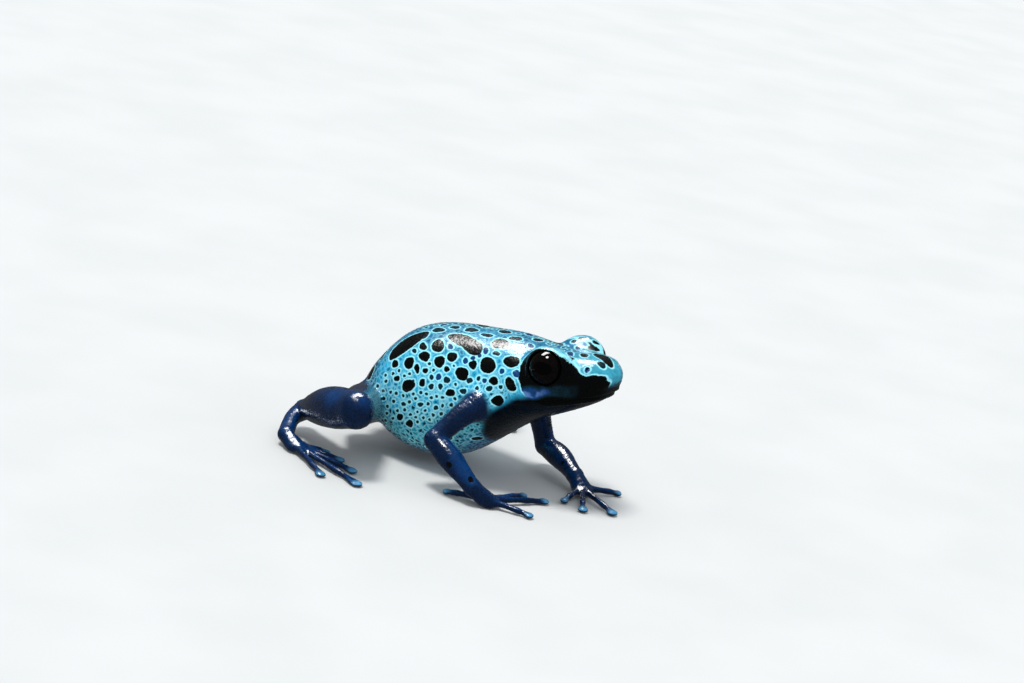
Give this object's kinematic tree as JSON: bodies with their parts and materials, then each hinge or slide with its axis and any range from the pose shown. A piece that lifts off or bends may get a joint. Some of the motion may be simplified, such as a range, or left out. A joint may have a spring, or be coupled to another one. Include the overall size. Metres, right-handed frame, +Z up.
{
  "type": "poison dart frog",
  "caption": "Life-size still model of a blue poison dart frog, sitting alert with its head and chest raised on its front legs and its hind legs folded.",
  "frame": {"origin": "on the floor, under the middle of the whole frog's box", "axes": "+X the way the head points, +Y to the frog's left, +Z up from the floor that it sits on"},
  "size_m": [0.0406, 0.0398, 0.0195],
  "materials": {
    "flank_skin": "wet granular skin, sky blue with round black spots in a pale network",
    "face_skin": "wet skin, pale blue with a black band through the eye and dark ovals on the snout",
    "limb_skin": "wet skin, deep cobalt blue with a few small black spots",
    "eye": "clear wet gloss over a nearly black iris"
  },
  "bodies": {
    "root": {"head": "face_skin", "torso": "flank_skin", "eye_left": "eye", "eye_right": "eye", "upper_arm_left": "limb_skin", "upper_arm_right": "limb_skin", "forearm_left": "limb_skin", "forearm_right": "limb_skin", "hand_left": "limb_skin", "hand_right": "limb_skin", "thigh_left": "limb_skin", "thigh_right": "limb_skin", "shank_left": "limb_skin", "shank_right": "limb_skin", "tarsus_left": "limb_skin", "tarsus_right": "limb_skin", "foot_left": "limb_skin", "foot_right": "limb_skin"}
  },
  "joints": []
}
